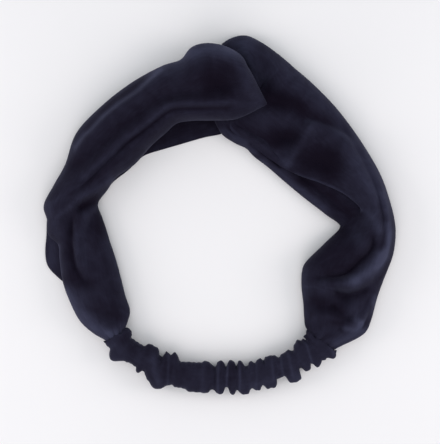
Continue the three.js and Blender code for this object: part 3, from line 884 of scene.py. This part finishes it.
RIGHT_UPPER = Leg(
    face=Face.FOLDED,
    sections=table(
        Section,
        (56.6, -81, 47.8, -73.8, 5, NECK_UPPER, NECK_UPPER, 1),
        (63.6, -75.2, 50.2, -65.8, 4, 6.4, 6.4, 4.8),
        (77.6, -68.4, 48.4, -62.4, 4, 4.8, 5, 7),
        (82, -65, 47.8, -58, 4, 4, 4, 8.6),
        (84.8, -58.4, 47.4, -50, 7, 3.4, 3.6, 10),
        (88, -46.5, 46.3, -40, 7, 3.2, 3.2, 12),
        (91.4, -37, 46.6, -31.6, 4, 3.2, 3.4, 13, -0.1),
        (93.4, -32, 48, -27.6, 7, 3.2, 4.7, 12.4, -0.3),
        (97, -22, 56.4, -19, 8, 3.4, 5.6, 11.4, -0.3),
        (98.2, -10, 68.6, -7.6, 5, 3.6, 4.3, 10.8, 0.6),
        (97.4, -2, 74, -2.4, 5, 3, 6.6, 9, 1),
        (95.4, 6, 79.4, 2.2, 8, 2.4, 8.1, 8.5, 1),
        (90.4, 21, 71.5, 10.6, 9, 1.8, 8.4, 8, 0.6),
        (80.2, 39, 57.5, 17.4, 10, 1.8, 8, 8.5, 0.6),
        (66, 58.6, 42.5, 22.8, 9, 1.8, 7.4, 9, 0.7),
        (53.2, 72, 29.5, 30, 7, 1.8, 6.2, 9.5, 0.9),
        (47, 77.6, 20.6, 36.4, 5, 1.8, 6.2, 9.5, 1),
        (44.6, 79.6, 12.4, 42, 5, 1.8, 7.4, 9.2, 1),
        (42, 81.8, 6, 47.8, 5, 1.8, 8.4, 9, 1),
        (39, 84.4, 6.6, 54, 5, 1.8, 8.6, 8.8, 1),
        (35, 87.8, 15.6, 58.6, 5, 1.8, 8, 8.8, 1),
        (30, 91.6, 21, 66.8, 6, 1.8, 7.8, 8.8, 0.7),
        (23.5, 96, 17, 77.6, 5, 1.8, 8, 8.8, 0.45),
        (14, 100, 13.6, 83, 5, 1.8, 8, 8, 0.45),
        (3.4, 96.6, 10, 81, 4, 2.6, 6, 6.4, 0.6),
    ),
    folds=table(
        Fold,
        (5, 12, 9, (22, 92, 34, 82, 46, 70.5, 57, 57.5, 67, 43.5, 76, 28.5, 82.5, 14, 86, 0, 87, -13,
            84, -25)),
        (-2.8, 5, 5, (18, 82, 23, 73, 29, 65.5, 36, 62.4, 43, 59.4, 50, 54.6, 57, 51.6, 65, 47.2,
            72, 42.2)),
        (1.8, 1.6, 5, (47, 51.5, 54, 50, 60, 47.4, 66, 44.2, 72, 40.8, 78, 36)),
        (2.8, 2.4, 3.2, (53, 51, 49.5, 47, 46.5, 42, 43.4, 37, 39.6, 30, 37, 27)),
        (1.6, 3.2, 4, (69, 42, 71.5, 34, 72, 26, 70.5, 18, 67, 13)),
        (1.2, 1.8, 1.8, (40, 79, 52, 69.5, 64, 56.5, 74, 44, 83, 29.5, 89.5, 14, 92.5, 0, 93.6, -12,
            91.6, -22, 87, -31)),
        (-1.2, 1.6, 1.6, (50, 67.5, 62, 54.5, 72, 42, 80.5, 27.5, 86.6, 13, 89.8, 0, 90.4, -11,
            88.4, -20)),
        (1.0, 1.6, 1.6, (78, 26, 83.5, 12.5, 86.8, 0, 87.4, -10, 85.8, -17)),
        (-3.4, 2.4, 2, (84.5, -8, 85, -15, 82.6, -20.6, 78.4, -24.6, 74, -29.4, 70, -33, 64, -34.6,
            56, -35.4, 50, -35)),
        (3.4, 3.4, 2.6, (92, -14, 89.6, -22, 85.6, -28, 80, -33, 74, -36, 67, -37.2, 59, -37.4,
            51, -38)),
        (2.0, 1.5, 3, (86, -34.5, 81, -37.4, 76.5, -39.2, 71, -40.2, 64.5, -39.6)),
        (-2.6, 2.2, 2.4, (83, -38.5, 79.5, -42.5, 74, -44, 67, -43.6, 62, -41.6)),
        (1.9, 2.2, 2.6, (48.5, -47, 53, -44.6, 58, -42.9, 64, -42.5)),
        (1.6, 1.8, 2.4, (51, -56, 56, -56.2, 62, -57, 68, -59)),
        (-2.2, 2.4, 2.4, (61, -49.5, 66.5, -52.6, 70.5, -56, 74, -59)),
        (2.3, 3, 1.5, (86.2, -42, 84.6, -48, 81.8, -53.6, 77.4, -57.8, 71.8, -61, 66.4, -62.4)),
        (-1.6, 1.5, 1.5, (83.6, -53, 81.4, -58.6, 79, -62)),
        (-1.4, 1.2, 1.4, (65, -62.8, 70, -64, 76, -65.4)),
    ),
    dents=table(
        Dent,
        (38, 43.4, 9, 5, -4, -4.4),
        (27, 53, 7, 5, 20, 1.2),
        (56, 30, 12.5, 7.5, -8, -4.6),
        (66, -22, 12, 8, 30, -2.0),
        (79.5, -16, 4, 5, 0, 1.8),
        (69.6, -46.4, 6, 4, 0, -3.8),
        (57.5, -50, 8.5, 3.4, 4, -3.0),
        (10, 92, 4, 2, 10, -1.2),
        (32, 78, 8, 7, -35, 1.0),
    ),
    # Painted highlights on rims, ridges and folds that face the light, painted shade in valleys and
    # pockets, and some brushed nap.
    strokes=table(
        Stroke,
        (0.28, 5, (7, 97, 12, 95, 17, 96)),
        (0.10, 6, (18, 95, 32, 86, 46, 74, 58, 61, 70, 46, 80, 31, 88, 14)),
        (0.26, 4, (13, 90, 17, 84, 22, 76)),
        (-0.14, 4, (27, 68, 38, 64, 48, 59, 58, 52)),
        (-0.24, 5.4, (28, 62.6, 34, 62, 42, 62)),
        (-0.12, 3, (46, 56, 54, 53, 61, 50)),
        (0.06, 5, (21, 53, 30, 54, 40, 53)),
        (-0.28, 5.5, (31, 43.5, 37, 43, 42, 43)),
        (-0.14, 3, (12, 50, 18, 46.4, 25, 42, 32, 39.4)),
        (0.16, 2.2, (4, 50, 9, 46, 14, 43, 20, 39.6, 27, 36, 34, 31, 38, 28)),
        (0.17, 2.6, (52, 50.5, 48, 46, 44.6, 39.5, 41, 34, 38, 28)),
        (-0.26, 8, (50, 31, 57, 31, 61, 27)),
        (-0.12, 6, (64, 36, 62, 24)),
        (0.15, 1.1, (48, 52.5, 55, 50.4, 62, 47.4, 70, 42.2)),
        (0.13, 7, (78, 30, 84, 18, 90, 4)),
        (0.28, 0.8, (43, 22.4, 50, 20.2, 57.6, 17.8, 65, 14.8, 71.4, 10.8, 76, 6.6, 79.6, 2)),
        (0.18, 2, (81, 2, 86, -3, 88, -9)),
        (-0.14, 3, (78, 0, 74, -4, 68, -11)),
        (0.16, 1.4, (90.5, 12, 93.4, 0, 94, -12, 91.6, -22, 87.6, -29)),
        (-0.12, 1, (88, 10, 91, -1, 91.4, -12, 88.6, -20)),
        (-0.13, 2.4, (84.6, -12, 84.4, -17, 81, -21.4, 76.6, -26, 72, -31)),
        (-0.11, 9, (66, -17, 64, -26, 70, -29)),
        (-0.12, 3.4, (62, -35, 68, -33)),
        (0.12, 3, (78, -16, 74, -8)),
        (0.33, 2, (92.6, -6, 93.4, -14, 92, -21, 89.6, -26)),
        (0.45, 3.5, (89, -23, 87, -27.6, 83, -31.2, 78.6, -34.4, 74, -36.6)),
        (0.12, 2, (76, -36, 71, -36.6, 65, -38.4)),
        (-0.20, 0.9, (95, -26, 92, -32, 88.4, -35.6)),
        (0.05, 1.4, (66, -41, 60, -41.4, 54, -43)),
        (0.10, 3, (58, -38.4, 50, -40.4)),
        (-0.07, 4.6, (66, -43.6, 72, -44.6, 78, -42)),
        (-0.18, 4, (55, -48, 60, -51, 66, -54)),
        (0.14, 5, (76, -51, 74, -57)),
        (0.30, 1.5, (86, -46, 84.4, -52, 82, -57, 78.6, -60.6)),
        (0.28, 2, (79, -61.4, 75, -64, 70, -63)),
        (-0.22, 0.9, (84.4, -51, 82, -57.4, 79.6, -63)),
        (-0.18, 1.6, (64, -59.6, 70, -60.8, 72.6, -60)),
        (0.18, 1.8, (75.6, -58, 78.4, -60.6)),
        (0.34, 3.4, (79, -65, 71, -68.6, 65, -71.6)),
        (0.18, 1.8, (48.4, -31, 48, -44, 49, -58)),
        (0.08, 3, (54, -61, 56, -67)),
    ),
)
RIGHT_CROSSING = Leg(
    sections=table(
        Section,
        (-4, 87, 12, 74.5, 4, 3.2, 3.6, 6),
        (-6, 74, 12.5, 67, 4, 3.4, 3.6, 6),
        (-4.5, 60, 14.5, 60, 4, 3.4, 3.6, 6),
    ),
)
RIGHT_LOWER = Leg(
    face=Face.FOLDED,
    sections=table(
        Section,
        (1, 46.1, 24.5, 58.2, 7, 3, 2.6, 6, 0.9),
        (9, 40.4, 33, 52, 6, 2.2, 1.6, 6.8, 1),
        (15.4, 37.4, 39, 45, 4, 1.8, 1.4, 7, 1),
        (19.4, 33.2, 43, 41, 6, 1.6, 1.3, 6, 1),
        (27.5, 27, 50, 34.8, 7, 1.6, 1.1, 5.6, 0.8),
        (36, 19.6, 59, 27.4, 8, 1.5, 1, 5.6, 0.4),
        (48, 9.6, 75, 20, 8, 1.4, FLAT, 6),
        (60, 0.4, 86, 5, 7, 1.4, FLAT, 7.4),
    ),
    folds=table(
        Fold,
        (1.4, 1.6, 2, (-2, 50.5, 3, 46.6, 9, 43, 16, 39, 22, 34.2, 28, 29.4, 35, 23.5)),
        (-1.6, 1.4, 1.6, (16, 40.6, 20, 37.8, 25, 34, 31, 29, 37, 25)),
        (1.6, 2, 1.8, (4, 52, 11, 47.4, 18, 42.4, 25, 37.6, 31, 32.4, 37, 27.8)),
        (-2.0, 3, 3, (42, 23.5, 50, 18.4, 58, 12.2, 65, 6, 72, 0, 78, -4)),
        (1.0, 1.6, 2.4, (38, 20, 46, 13.6, 54, 7.6, 62, 2, 67.5, -2.4)),
    ),
    # Painted highlights on ridges and painted shade in valleys, with some brushed nap.
    strokes=table(
        Stroke,
        (0.20, 2.4, (2, 48, 8, 43.6, 14, 40.6, 20, 36)),
        (-0.16, 0.8, (2, 52, 4.4, 49, 8, 45.6)),
        (-0.22, 1, (17, 39.6, 20, 37.4, 26, 32, 33, 27)),
        (0.24, 2, (24, 31, 32, 24.6, 40, 18.4, 50, 10.4, 60, 3)),
        (-0.22, 3.6, (46, 19.5, 56, 15, 64, 9, 71, 3, 77, -3)),
        (-0.14, 4, (10, 50, 16, 51, 20, 47)),
    ),
)
RIGHT_UNDER = Leg(
    sections=table(
        Section,
        (68.4, -6.8, 93, -8, 4, 1.2, FLAT, 5),
        (58.6, -16.5, 91.6, -22, 4),
        (49.6, -28, 87.6, -34, 3),
        (48, -40, 84.6, -44, 3),
        (48.8, -51, 82.6, -53, 3),
        (49.5, -60, 78.5, -61.5, 3),
        (50.5, -65, 71, -68.4, 4, 2, 2, 0),
        (50.8, -66.4, 62.8, -74.6, 4, NECK_LOWER, NECK_LOWER, 0),
        (47.8, -73.8, 56.6, -81, 1, NECK_LOWER, NECK_LOWER, 0),
    ),
)


# ---------------------------------------------------------------------------- casing

# The ruched tube's middle line and its two edges, crest by crest and notch by notch: x and y in turn.
MIDDLE_LINE = (
    -58, -67.2, -54, -73.4, -47, -78.6, -40, -83, -33, -86.5, -24, -88.5, -12, -90.5, 0, -91, 12, -90.7,
    24, -88.7, 33, -85.8, 41, -82, 48.5, -78.2, 54.2, -74.8, 57.3, -70.6,
)
HEAD_EDGE = (
    -54, -61, -52.4, -63.4, -51.2, -63.8, -50, -64.9, -49.3, -67, -49.5, -69, -48, -70.3, -45.5, -72,
    -43, -73.4, -41.5, -73.8, -40.6, -73, -39, -72.8, -37, -73.7, -35, -74.9, -34, -76.6, -33.3, -79,
    -31.5, -79.5, -30.8, -78, -29.7, -77.2, -28.4, -78, -27.2, -78.6, -26, -77.9, -24.9, -77.7,
    -23.6, -79, -22.6, -81.4, -21.4, -82.5, -18, -82.8, -10, -83, -8, -82.3, -6.4, -82.7, -4.4, -84,
    -2.1, -85.2, -1.6, -83.8, -0.6, -82.7, 0.8, -82.3, 2.1, -82.8, 3, -84, 3.6, -85.2, 4.3, -83.9,
    5.2, -82.5, 6.6, -82, 8, -82.6, 8.9, -83.9, 9.4, -85, 9.9, -83.8, 10.7, -82.6, 12, -82.4,
    13.2, -83.4, 14.2, -85.2, 15.6, -85.4, 16.3, -83.6, 17.6, -82.5, 19.6, -83.2, 21, -82, 22.8, -80.9,
    24.6, -81.6, 25.8, -80.2, 28, -79.4, 31, -79.2, 33.4, -80.2, 34.6, -78.8, 36, -77.8, 37.2, -77.2,
    38.6, -76, 40.4, -76.6, 41.6, -76.2, 41.6, -74.4, 42.5, -72.3, 44, -70.5, 45.6, -70.7, 47, -69.8,
    48.2, -70.4, 48.2, -68.6, 48.9, -66, 49.4, -63.5, 52, -60,
)
AWAY_EDGE = (
    -67, -68, -64.6, -70.2, -63.2, -72.4, -61.2, -75, -61.3, -77.6, -60.6, -80.4, -58.8, -81.7,
    -54, -81.6, -51, -82.4, -48.4, -83.2, -46.4, -84.3, -46.6, -86.6, -45, -88, -43.4, -87.3, -42.2, -87,
    -41.5, -89, -40.5, -91.5, -39.2, -93.4, -38, -95.2, -36, -97, -33, -97, -31, -96.2, -28.8, -95.3,
    -26.6, -95, -25, -96, -20, -97, -17, -98.6, -13, -99, -6.4, -99.2, -5.2, -98, -2.8, -98, -1.8, -99.3,
    0.4, -99.9, 2.1, -99.3, 2.9, -97.6, 3.5, -96.2, 4.6, -96.2, 5.2, -97.8, 6.1, -99.6, 7.5, -100.1,
    8.8, -99.6, 9.7, -98, 10.5, -98.4, 11.8, -99.7, 14.4, -100.2, 16.3, -99.6, 17.2, -97.8, 18.4, -97.2,
    20.4, -97.8, 22.4, -97.8, 23.7, -95.8, 25, -95.7, 26.6, -97, 28.6, -96.7, 30.2, -96.5, 31.6, -95.4,
    32.2, -93.6, 32, -91.8, 33.6, -91.4, 35.2, -90.4, 36.8, -90.4, 37.4, -92, 38.8, -93.1, 41.2, -93.6,
    44, -92.8, 45.5, -91, 45.2, -88.4, 44.6, -86.6, 46, -86, 47.6, -87, 49.6, -86.9, 50.9, -85.4,
    51, -83.8, 52.4, -83.5, 53.8, -84.8, 55.6, -84.5, 56.8, -82.8, 57.4, -81.2, 59, -81.5, 60.2, -79.8,
    62, -80.8, 64.2, -79.5, 64.9, -77, 64.6, -75, 66.5, -72.5,
)
# Pairs: place along the casing, height of its top above the middle line.
TOP_SIDE = (
    (-58, 5.6), (-56, 6.2), (-53.5, 7.3), (-50, 6), (-47.5, 6.8), (-45, 5.8), (-40.5, 8), (-37, 8.4),
    (-34, 6.6), (-31.5, 7.8), (-30, 6.2), (-28.6, 7.4), (-27.2, 6.2), (-25, 7.4), (-21.5, 6.4), (-15, 7),
    (-11, 6.2), (-9, 7.4), (-6.6, 5.8), (-3.5, 6.6), (-1.8, 5.4), (-0.4, 7.6), (2.6, 5.4), (4.8, 7.3),
    (6, 5.8), (7.4, 7.2), (9.4, 5.6), (11, 7.5), (13.4, 5.6), (17.9, 7.2), (20.4, 5.8), (22.8, 7.2),
    (26, 5.8), (29, 7.2), (31.8, 5.8), (34, 7.4), (36, 5.6), (38.5, 7.6), (41.4, 6), (44, 7.4),
    (46.6, 5.8), (50, 7.4), (53, 6), (55.4, 6.4), (57.6, 5.6),
)
# Painted highlights along the ruffles' crests and painted shade in creases and in the gathers at the
# mouths.
CASING_STROKES = table(
    Stroke,
    (0.20, 0.7, (-0.6, -83, -1, -90, -0.8, -99)),
    (0.24, 0.6, (4.6, -84, 4.2, -90, 3.9, -97)),
    (0.20, 0.7, (11, -83, 11.4, -90, 11.2, -98)),
    (0.12, 1.6, (-9, -83, -9.4, -90, -9, -99)),
    (0.14, 0.9, (20.4, -83, 20.8, -90, 20.2, -97)),
    (0.18, 0.8, (29, -80, 29.6, -86, 30.4, -92)),
    (0.20, 0.7, (34, -79, 34.6, -84, 35.4, -90)),
    (0.16, 0.8, (38, -77, 39.4, -83, 40.6, -90)),
    (0.22, 0.7, (48.4, -72, 49.8, -77, 51.4, -82)),
    (0.22, 0.8, (60.4, -70, 62, -74, 63.4, -78)),
    (0.18, 2.2, (-37, -80, -36, -86, -34, -93)),
    (0.20, 0.8, (-28.4, -79, -28.4, -86, -28.8, -94)),
    (0.14, 4, (-60, -72, -57, -76, -57, -80)),
    (0.14, 2.4, (8, -95, 18, -95, 29, -93)),
    (0.16, 2.6, (38, -92, 44, -90)),
    (0.07, 8, (20, -88, 36, -84, 48, -79)),
    (-0.12, 1, (48.6, -64, 49, -68, 49.6, -72)),
    (-0.10, 2.4, (-54, -69, -51, -71, -47, -77)),
    (-0.08, 3, (-31, -80, -29, -88)),
    (-0.08, 2, (7, -85, 7.6, -90, 7.4, -95)),
)
FRILL_WAVES = ((1.0, 9, 0), (0.7, 5, 1))  # each wave's share, how often it goes round, its start


@dataclass
class Casing:
    """Ruched velvet tube, open at both mouths.

    Each reach is measured from the middle line to an edge and brought out by accent. Skew shifts
    the crests along the tube by smooth noise, and ripple is a small swell between them. At the
    mouths a frill bends the rim out and in, and fades over the mouth's depth.
    """

    name: str = "ruched_casing"
    node: str = "elastic_casing"
    flat: Point = (0.046, 0.170)
    middle: float = 6.0
    bottom: float = 6.5
    wall: float = 1.2
    rings: int = 280
    sides: int = 36
    line_samples: int = 2000
    squareness: float = 0.8
    least_reach: float = 5.4
    pile: float = 0.4
    accent: float = 0.35
    accent_span: int = 11
    relief: float = 0.6
    evenness: float = 0.3
    skew: float = 1.1
    skew_scale: float = 12.0
    skew_spread: float = 6.0
    skew_seed: float = 11.0
    ripple: float = 0.14
    ripple_spacing: float = 3.1
    ripple_drift: float = 5.0
    ripple_scale: float = 9.0
    ripple_spread: float = 3.0
    ripple_seed: float = 2.0
    frill: float = 0.6
    mouth_depth: float = 1.5
    mouth_swell: float = 0.5
    mouth_waves: int = 11
    # An even tone level, then the flanks' painted sheen: its strength, how tightly it keeps to the
    # flanks, and the head flank's share of it.
    nap_and_light: float = 0.5
    flank_painted_sheen: float = 0.16
    rim_power: int = 6
    head_rim_share: float = 0.4

    @staticmethod
    def _reach(
        edge: tuple[float, ...], centre: np.ndarray, tangent: np.ndarray, away: np.ndarray
    ) -> np.ndarray:
        """Distance from the middle line to an edge, square to the line.

        Args:
            edge: The edge's x and y in turn.
            centre: Places on the middle line, one to a ring.
            tangent: The line's direction at each.
            away: The level direction out of the head opening at each.

        Returns:
            One distance for each ring.
        """
        dense = smooth_line(edge, EDGE_STEPS)
        reach = np.empty(len(centre))
        for ring, (c, t, a) in enumerate(zip(centre, tangent, away)):
            forward, sideways = (dense - c) @ t, (dense - c) @ a
            crossing = np.nonzero((forward[:-1] <= 0) != (forward[1:] <= 0))[0]
            if crossing.size == 0:
                reach[ring] = np.linalg.norm(dense - c, axis=1).min()
                continue
            share = forward[crossing] / (forward[crossing] - forward[crossing + 1])
            found = sideways[crossing] + share * (sideways[crossing + 1] - sideways[crossing])
            reach[ring] = np.abs(found).min()
        return reach

    def _accented(self, reach: np.ndarray) -> np.ndarray:
        """Brings out crests and notches against the even run of the tube.

        Args:
            reach: One distance for each ring.

        Returns:
            The accented distances.
        """
        span = self.accent_span
        padded = np.pad(reach, span // 2, mode="edge")
        even = np.convolve(padded, np.ones(span) / span, mode="valid")
        return reach + self.accent * (reach - even)

    def _rise(self, x: np.ndarray) -> np.ndarray:
        """Height of the top, rounded from each notch to its crests.

        Args:
            x: Places along the casing.

        Returns:
            One height for each place.
        """
        knots, values = np.array(TOP_SIDE).T
        after = np.clip(np.searchsorted(knots, x), 1, len(knots) - 1)
        share = np.clip((x - knots[after - 1]) / (knots[after] - knots[after - 1]), 0, 1)
        low, high = values[after - 1], values[after]
        rounded = np.where(high > low, np.sqrt(1 - (1 - share) ** 2), 1 - np.sqrt(1 - share**2))
        shape = (1 - self.evenness) * rounded + self.evenness * smoothstep(share)
        full = low + (high - low) * shape
        return values.mean() + self.relief * (full - values.mean())

    def surface(self) -> np.ndarray:
        """Outer face of the tube.

        Returns:
            Points by ring and side, the last side repeating the first.
        """
        knots = np.array(MIDDLE_LINE, float).reshape(-1, 2)
        dense = spline(knots, np.linspace(0, len(knots) - 1, self.line_samples))
        travel = travelled(dense)
        wanted = np.linspace(0, travel[-1], self.rings + 1)
        centre = np.stack([np.interp(wanted, travel, dense[:, k]) for k in (0, 1)], axis=1)
        tangent = np.gradient(centre, axis=0)
        tangent /= np.linalg.norm(tangent, axis=1, keepdims=True)
        away = np.stack([tangent[:, 1], -tangent[:, 0]], axis=1)
        bare = (self._reach(edge, centre, tangent, away) for edge in (HEAD_EDGE, AWAY_EDGE))
        head_reach, away_reach = (
            np.maximum(self.least_reach, self.pile + self._accented(reach)) for reach in bare
        )
        mouth = np.exp(-np.minimum(wanted, travel[-1] - wanted) / self.mouth_depth)
        outward = tangent * (self.frill * mouth * np.sign(wanted - travel[-1] / 2))[:, None]
        angle = np.linspace(0, 2 * np.pi, self.sides + 1)
        side = np.sign(np.cos(angle)) * np.abs(np.cos(angle)) ** self.squareness
        up = np.sign(np.sin(angle)) * np.abs(np.sin(angle)) ** self.squareness
        points = np.empty((self.rings + 1, self.sides + 1, 3))
        for k in range(self.sides + 1):
            lean = wander(wanted, self.skew_spread * side[k], self.skew_seed, self.skew_scale)
            read = wanted + self.skew * lean * (1 - abs(side[k]))
            reach = np.interp(read, wanted, away_reach if side[k] > 0 else head_reach)
            x = np.interp(read, wanted, centre[:, 0])
            rise = self._rise(x) if up[k] > 0 else np.full(len(x), self.bottom)
            drift = wander(wanted, self.ripple_spread * angle[k], self.ripple_seed, self.ripple_scale)
            phase = 2 * np.pi * read / self.ripple_spacing + self.ripple_drift * drift
            swell = self.ripple * np.sin(phase)
            swell += self.mouth_swell * mouth * math.sin(self.mouth_waves * angle[k])
            frill = sum(share * math.sin(often * angle[k] + start) for share, often, start in FRILL_WAVES)
            points[:, k, :2] = centre + away * (side[k] * (reach + swell))[:, None] + outward * frill
            points[:, k, 2] = self.middle + up[k] * (rise + swell)
        points[:, -1] = points[:, 0]
        points[..., 2] = np.maximum(points[..., 2], 0)
        return points

    def build(self, material: bpy.types.Material) -> bpy.types.Object:
        """Args:
            material: The velvet.

        Returns:
            The finished casing.
        """
        surface = self.surface() * MM
        uv = np.empty((self.rings + 1, self.sides + 1, 2))
        uv[..., 0] = np.linspace(0, self.flat[0], self.sides + 1)[None, :]
        uv[..., 1] = np.linspace(0, self.flat[1], self.rings + 1)[:, None]
        plan = surface[..., :2].reshape(-1, 2) / MM
        side = np.cos(np.linspace(0, 2 * np.pi, self.sides + 1))
        # The casing's tone: an even level, the strokes' painted highlights and painted shade, and a
        # painted sheen on the tube's flanks, the away flank lighter than the head flank.
        nap_and_light = self.nap_and_light + brushed_and_painted_light(plan, CASING_STROKES).reshape(surface.shape[:2])
        rim = np.abs(side) ** self.rim_power * np.where(side > 0, 1.0, self.head_rim_share)
        nap_and_light += self.flank_painted_sheen * rim[None, :]
        piece = grid_piece(self.name, surface[:, ::-1], uv[:, ::-1], nap_and_light, closed=True)
        finish_wall(piece, self.wall, offset=-1)
        piece.data.materials.append(material)
        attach(piece, BODY)
        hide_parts(self.node)
        log.info("%s: %d faces", self.name, len(piece.data.polygons))
        return piece


# ---------------------------------------------------------------------------- surroundings


@dataclass(frozen=True)
class Lamp:
    """A square soft lamp that faces the headband: place and size in metres, power in watts."""

    name: str
    place: tuple[float, float, float]
    size: float
    power: float


LAMPS = table(
    Lamp,
    ("window", (-0.15, -1.25, 1.15), 1.1, 8.0),
    ("ceiling", (0.1, -0.1, 1.9), 1.4, 2.0),
    ("left_lamp", (-0.55, 0.0, 0.30), 0.3, 1.05),
    ("right_lamp", (0.55, 0.0, 0.30), 0.3, 1.05),
)


@dataclass(frozen=True)
class Studio:
    """Pale floor, even surroundings, soft lamps and a camera straight above. Sizes in metres."""

    look_at: Point = (0.0003, -0.0042)
    field: float = 0.2486
    lens: float = 135.0
    sensor: float = 36.0
    mid_height: float = 0.005
    floor_size: float = 6.0
    floor_tones: tuple[Colour, Colour] = ((0.874, 0.854, 0.863), (0.892, 0.870, 0.879))
    floor_roughness: float = 0.9
    floor_gloss: float = 0.1
    grain_scale: float = 14.0
    room_colour: Colour = (0.875, 0.952, 1.0)
    room_strength: float = 0.66
    lamp_colour: Colour = (1.0, 0.93, 0.91)

    def floor(self) -> None:
        """Plain pale floor."""
        deselect()
        bpy.ops.mesh.primitive_plane_add(size=self.floor_size, location=(0, 0, 0))
        floor = bpy.context.object
        floor.name = "pale_floor"
        material, shader = new_material("pale_paper")
        tree = material.node_tree
        place = add_node(tree, "ShaderNodeTexCoord")
        grain = add_node(tree, "ShaderNodeTexNoise", Scale=self.grain_scale)
        tone = add_node(tree, "ShaderNodeMix")
        tone.data_type = "RGBA"
        for socket, colour in zip("AB", self.floor_tones):
            tone.inputs[socket].default_value = (*colour, 1)
        connect(
            tree,
            (place, "Object", grain, "Vector"),
            (grain, "Fac", tone, "Factor"),
            (tone, "Result", shader, "Base Color"),
        )
        shader.inputs["Roughness"].default_value = self.floor_roughness
        shader.inputs["Specular IOR Level"].default_value = self.floor_gloss
        floor.data.materials.append(material)
        deselect()

    def lights(self) -> None:
        """Even pale surroundings and the soft lamps."""
        world = bpy.data.worlds.new("pale_room")
        world.use_nodes = True
        background = world.node_tree.nodes["Background"]
        background.inputs["Color"].default_value = (*self.room_colour, 1)
        background.inputs["Strength"].default_value = self.room_strength
        bpy.context.scene.world = world
        for lamp in LAMPS:
            data = bpy.data.lights.new(lamp.name, "AREA")
            data.shape = "SQUARE"
            data.size = lamp.size
            data.energy = lamp.power
            data.color = self.lamp_colour
            source = bpy.data.objects.new(lamp.name, data)
            source.location = lamp.place
            source.rotation_euler = (-Vector(lamp.place)).to_track_quat("-Z", "Y").to_euler()
            bpy.context.scene.collection.objects.link(source)

    def camera(self) -> None:
        """Camera above the headband, looking straight down."""
        data = bpy.data.cameras.new("above")
        data.lens = self.lens
        data.sensor_width = self.sensor
        camera = bpy.data.objects.new("above", data)
        height = self.lens / self.sensor * self.field + self.mid_height
        camera.location = (self.look_at[0], self.look_at[1], height)
        bpy.context.scene.collection.objects.link(camera)
        bpy.context.scene.camera = camera
        bpy.context.scene.view_settings.view_transform = "Standard"


def main() -> None:
    """Builds the headband's pieces in order, then its surroundings."""
    deselect()
    studio = Studio()
    studio.camera()
    pile = PileEffect()
    velvet = VELVET.build(pile)
    elastic = ELASTIC_BLACK.build(pile)
    left = Band(
        "left_velvet_band", "left_band",
        legs=(LEFT_UPPER, LEFT_BEND, LEFT_LOWER), flat=(0.044, 0.44), seed=1.5,
    )
    right = Band(
        "right_velvet_band", "right_band",
        legs=(RIGHT_UPPER, RIGHT_CROSSING, RIGHT_LOWER, RIGHT_UNDER),
        flat=(0.044, 0.44), seed=31.5, flipped=True,
    )
    left.build(velvet)
    right.build(velvet)
    Casing().build(velvet)
    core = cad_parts["elastic_core"]
    core.data.materials.clear()
    core.data.materials.append(elastic)
    log.info("elastic_core: kept, %d faces", len(core.data.polygons))
    studio.floor()
    studio.lights()


if __name__ == "__main__":
    main()
